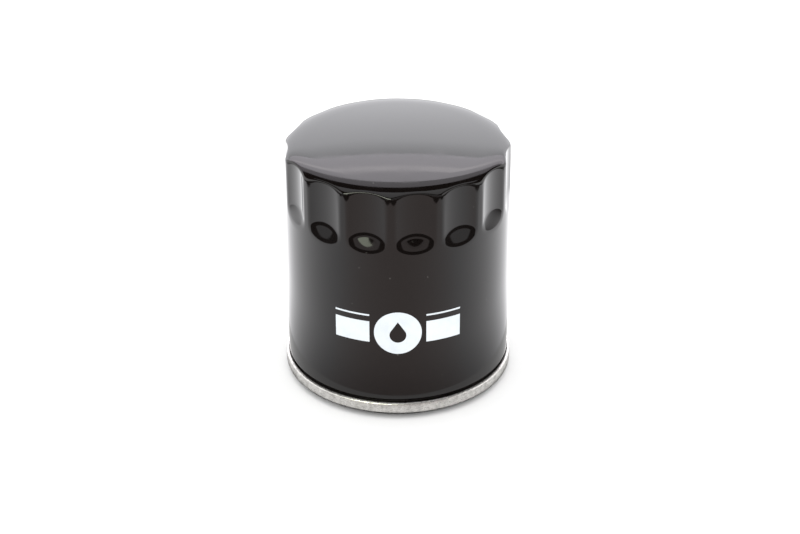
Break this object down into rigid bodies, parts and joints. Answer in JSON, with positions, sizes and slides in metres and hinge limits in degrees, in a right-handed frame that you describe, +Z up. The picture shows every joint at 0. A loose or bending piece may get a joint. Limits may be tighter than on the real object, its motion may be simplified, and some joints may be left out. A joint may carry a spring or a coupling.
{
  "type": "spin-on oil filter",
  "caption": "Round fluted steel canister, seamed over a threaded base plate with a face gasket, holding a pleated element, bypass valve and anti-drainback flap.",
  "frame": {"origin": "centre of the gasket's sealing face, on the thread's axis; the filter stands on its gasket", "axes": "+Z up along the thread's axis, from the gasket to the domed end; -Y is the printed front"},
  "size_m": [0.076, 0.0759, 0.0835],
  "materials": {
    "canister_paint": "gloss black enamel",
    "tinplate": "bare rolled tinplate",
    "plated_steel": "zinc plated",
    "spring_steel": "oiled drawn wire",
    "nitrile_rubber": "moulded, matt",
    "silicone_rubber": "moulded, satin",
    "filter_paper": "resin-treated cellulose",
    "plastisol": "cured, satin",
    "seam_compound": "dried compound"
  },
  "bodies": {
    "shell": {"canister": "canister_paint", "seaming_lid": "tinplate", "seam_sealant": "seam_compound", "sealing_gasket": "nitrile_rubber", "threaded_base_plate": "plated_steel", "element_spring": "spring_steel"},
    "diaphragm": {"drainback_diaphragm": "silicone_rubber"},
    "element": {"lower_end_cap": "tinplate", "upper_end_cap": "tinplate", "lower_potting": "plastisol", "upper_potting": "plastisol", "pleated_media": "filter_paper", "media_seam_clip": "tinplate", "centre_tube": "tinplate", "bypass_cage": "tinplate", "bypass_seat": "tinplate", "bypass_spring": "spring_steel"},
    "bypass_valve": {"bypass_seal": "nitrile_rubber", "bypass_disc": "plated_steel", "bypass_stem": "plated_steel"}
  },
  "joints": [
    {"name": "drainback_lift", "type": "slide", "parent": "shell", "child": "diaphragm", "axis": [0, 0, 1], "range_m": [0, 0.0015], "stiffness_N_per_m": 150, "springref_m": -0.0005, "deforming": ["drainback_diaphragm"]},
    {"name": "element_float", "type": "slide", "parent": "shell", "child": "element", "axis": [0, 0, 1], "range_m": [0, 0.0015], "stiffness_N_per_m": 3000, "springref_m": -0.004, "deforming": ["element_spring"]},
    {"name": "bypass_lift", "type": "slide", "parent": "element", "child": "bypass_valve", "axis": [0, 0, -1], "range_m": [0, 0.0035], "stiffness_N_per_m": 500, "springref_m": -0.003, "deforming": ["bypass_spring"]}
  ]
}
